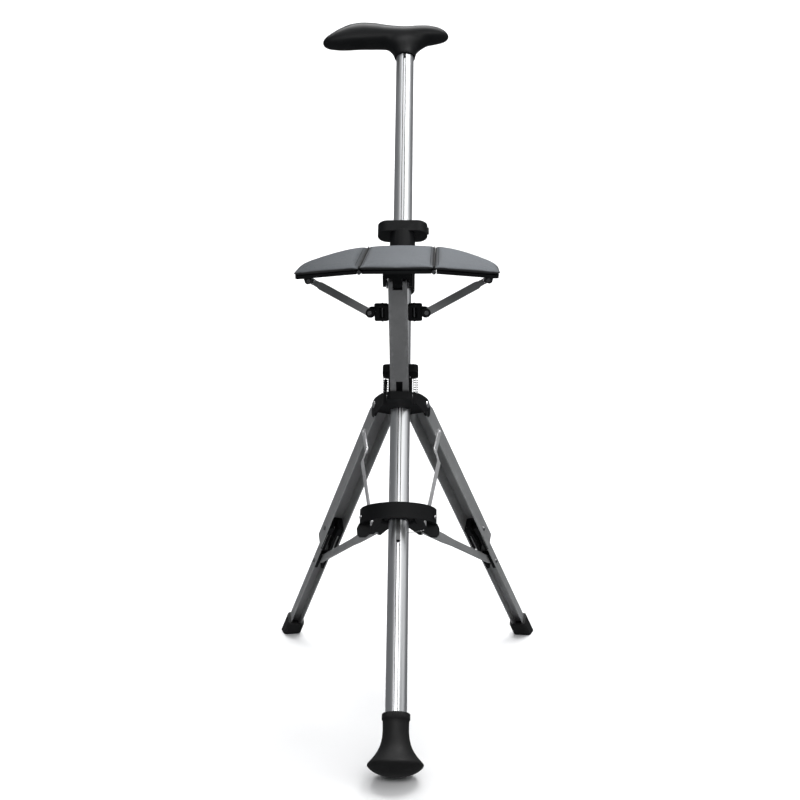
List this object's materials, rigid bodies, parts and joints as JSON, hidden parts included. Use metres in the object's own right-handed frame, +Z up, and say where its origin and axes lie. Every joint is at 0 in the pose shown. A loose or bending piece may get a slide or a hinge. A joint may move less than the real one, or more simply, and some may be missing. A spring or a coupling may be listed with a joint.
{
  "type": "walking stick seat",
  "caption": "Folding walking stick seat: aluminium tube with T handle, padded three-panel seat on a sliding collar, and two channel legs that open to the rear.",
  "frame": {"origin": "on the floor, at the middle of the footprint", "axes": "+Z up, -Y towards the sitter side of the stick where the rubber tip stands, +X to the right"},
  "size_m": [0.3324, 0.563, 0.7829],
  "materials": {
    "tube": "polished extrusion",
    "grip": "soft touch",
    "rubber": "matt moulded",
    "plastic": "fine moulded texture",
    "button": "gloss",
    "grey_steel": "satin grey coat",
    "leg": "satin grey coat",
    "steel": "bright plated",
    "pad": "grained synthetic leather"
  },
  "bodies": {
    "stick": {"pole_tube": "tube", "handle_grip": "grip", "foot_tip": "rubber", "hub_housing": "plastic", "leg_hinge_pin_right": "steel", "leg_hinge_pin_left": "steel", "arm_pivot_pin": "steel", "spring_right": "steel", "spring_left": "steel"},
    "arm": {"seat_arm": "grey_steel", "apex_pin": "steel", "strut_clip_right": "plastic", "strut_clip_left": "plastic", "clip_pin_right": "steel", "clip_pin_left": "steel"},
    "seat": {"seat_base": "plastic", "centre_pad": "pad", "wing_pin_right": "steel", "wing_pin_left": "steel"},
    "collar": {"collar_pull": "plastic", "collar_pin": "steel"},
    "wing_right": {"wing_base_right": "plastic", "wing_pad_right": "pad"},
    "wing_left": {"wing_base_left": "plastic", "wing_pad_left": "pad"},
    "knuckle_right": {"strut_knuckle_right": "steel"},
    "knuckle_left": {"strut_knuckle_left": "steel"},
    "strut_right": {"strut_right": "grey_steel"},
    "strut_left": {"strut_left": "grey_steel"},
    "slider": {"slider_ring": "plastic", "slider_screw_right": "steel", "slider_screw_left": "steel", "slide_strip": "steel", "link_pin_right": "steel", "link_pin_left": "steel"},
    "leg_right": {"leg_upper_right": "leg", "leg_insert_right": "plastic", "leg_lower_right": "leg", "leg_boot_right": "rubber", "leg_rivet_upper_right": "steel", "leg_rivet_lower_right": "steel"},
    "leg_left": {"leg_upper_left": "leg", "leg_insert_left": "plastic", "leg_lower_left": "leg", "leg_boot_left": "rubber", "leg_rivet_upper_left": "steel", "leg_rivet_lower_left": "steel"},
    "link_right": {"link_bar_right": "leg"},
    "link_left": {"link_bar_left": "leg"},
    "shoe_right": {"running_shoe_right": "plastic", "shoe_pin_right": "steel"},
    "shoe_left": {"running_shoe_left": "plastic", "shoe_pin_left": "steel"},
    "strip_right": {"tie_strip_right": "grey_steel"},
    "strip_left": {"tie_strip_left": "grey_steel"},
    "release_button": {"release_button": "button"},
    "spring_block": {"spring_block": "plastic"}
  },
  "joints": [
    {"name": "arm_fold", "type": "hinge", "parent": "stick", "child": "arm", "pos_m": [0, -0.05071, 0.35227], "axis": [-1, 0, 0], "range_deg": [0, 49.5]},
    {"name": "seat_joint", "type": "hinge", "parent": "arm", "child": "seat", "pos_m": [0, -0.08959, 0.47946], "axis": [1, 0, 0], "range_deg": [0, 99]},
    {"name": "collar_joint", "type": "hinge", "parent": "seat", "child": "collar", "pos_m": [0, 0.04322, 0.48642], "axis": [-1, 0, 0], "range_deg": [0, 49.5]},
    {"name": "wing_right_joint", "type": "hinge", "parent": "seat", "child": "wing_right", "pos_m": [0.0385, -0.05847, 0.49711], "axis": [0, 0.9986, 0.0523], "range_deg": [0, 73.63]},
    {"name": "wing_left_joint", "type": "hinge", "parent": "seat", "child": "wing_left", "pos_m": [-0.0385, -0.05847, 0.49711], "axis": [0, -0.9986, -0.0523], "range_deg": [0, 73.63]},
    {"name": "knuckle_right_joint", "type": "hinge", "parent": "wing_right", "child": "knuckle_right", "pos_m": [0.09632, -0.05763, 0.48103], "axis": [0, 0.9986, 0.0523], "range_deg": [0, 29.38]},
    {"name": "knuckle_left_joint", "type": "hinge", "parent": "wing_left", "child": "knuckle_left", "pos_m": [-0.09632, -0.05763, 0.48103], "axis": [0, -0.9986, -0.0523], "range_deg": [0, 29.38]},
    {"name": "strut_right_joint", "type": "hinge", "parent": "knuckle_right", "child": "strut_right", "pos_m": [0.09632, -0.05763, 0.48103], "axis": [-0.4364, -0.0471, 0.8985], "range_deg": [0, 36.52]},
    {"name": "strut_left_joint", "type": "hinge", "parent": "knuckle_left", "child": "strut_left", "pos_m": [-0.09632, -0.05763, 0.48103], "axis": [-0.4364, 0.0471, -0.8985], "range_deg": [0, 36.52]},
    {"name": "slider_joint", "type": "slide", "parent": "stick", "child": "slider", "axis": [0, -0.5736, -0.8192], "range_m": [0, 0.008]},
    {"name": "leg_right_joint", "type": "hinge", "parent": "stick", "child": "leg_right", "pos_m": [0.0175, -0.01238, 0.33379], "axis": [-0.9288, 0.3036, -0.2126], "range_deg": [0, 55.91]},
    {"name": "leg_left_joint", "type": "hinge", "parent": "stick", "child": "leg_left", "pos_m": [-0.0175, -0.01238, 0.33379], "axis": [-0.9288, -0.3036, 0.2126], "range_deg": [0, 55.91]},
    {"name": "link_right_joint", "type": "hinge", "parent": "slider", "child": "link_right", "pos_m": [0.02565, -0.07536, 0.20821], "axis": [-0.9288, 0.3036, -0.2126], "range_deg": [0, 88.29]},
    {"name": "link_left_joint", "type": "hinge", "parent": "slider", "child": "link_left", "pos_m": [-0.02565, -0.07536, 0.20821], "axis": [-0.9288, -0.3036, 0.2126], "range_deg": [0, 88.29]},
    {"name": "shoe_right_joint", "type": "hinge", "parent": "link_right", "child": "shoe_right", "pos_m": [0.10486, 0.10368, 0.11779], "axis": [0.9288, -0.3036, 0.2126], "range_deg": [0, 32.38]},
    {"name": "shoe_left_joint", "type": "hinge", "parent": "link_left", "child": "shoe_left", "pos_m": [-0.10486, 0.10368, 0.11779], "axis": [0.9288, 0.3036, -0.2126], "range_deg": [0, 32.38]},
    {"name": "strip_right_joint", "type": "hinge", "parent": "leg_right", "child": "strip_right", "pos_m": [0.03203, 0.00693, 0.29786], "axis": [0.9288, -0.3036, 0.2126], "range_deg": [0, 61.81]},
    {"name": "strip_left_joint", "type": "hinge", "parent": "leg_left", "child": "strip_left", "pos_m": [-0.03203, 0.00693, 0.29786], "axis": [0.9288, 0.3036, -0.2126], "range_deg": [0, 61.81]},
    {"name": "release_button_joint", "type": "slide", "parent": "collar", "child": "release_button", "axis": [-1, 0, 0], "range_m": [0, 0.0025], "stiffness_N_per_m": 120},
    {"name": "spring_block_joint", "type": "slide", "parent": "stick", "child": "spring_block", "axis": [0, -0.5736, -0.8192], "range_m": [0, 0.002], "stiffness_N_per_m": 400, "deforming": ["spring_right", "spring_left"]}
  ],
  "couplings": [
    {"joint": "seat_joint", "follows": "arm_fold", "ratio": 2},
    {"joint": "collar_joint", "follows": "arm_fold", "ratio": 0.99999},
    {"joint": "wing_right_joint", "follows": "arm_fold", "ratio": 1.4875},
    {"joint": "wing_left_joint", "follows": "arm_fold", "ratio": 1.4875},
    {"joint": "knuckle_right_joint", "follows": "arm_fold", "ratio": 0.59352},
    {"joint": "knuckle_left_joint", "follows": "arm_fold", "ratio": 0.59352},
    {"joint": "strut_right_joint", "follows": "arm_fold", "ratio": 0.73767},
    {"joint": "strut_left_joint", "follows": "arm_fold", "ratio": 0.73767},
    {"joint": "slider_joint", "follows": "arm_fold", "m_per_rad": 0.0092598},
    {"joint": "leg_right_joint", "follows": "arm_fold", "ratio": 1.1295},
    {"joint": "leg_left_joint", "follows": "arm_fold", "ratio": 1.1295},
    {"joint": "link_right_joint", "follows": "arm_fold", "ratio": 1.7837},
    {"joint": "link_left_joint", "follows": "arm_fold", "ratio": 1.7837},
    {"joint": "shoe_right_joint", "follows": "arm_fold", "ratio": 0.65415},
    {"joint": "shoe_left_joint", "follows": "arm_fold", "ratio": 0.65415},
    {"joint": "strip_right_joint", "follows": "arm_fold", "ratio": 1.2487},
    {"joint": "strip_left_joint", "follows": "arm_fold", "ratio": 1.2487}
  ]
}
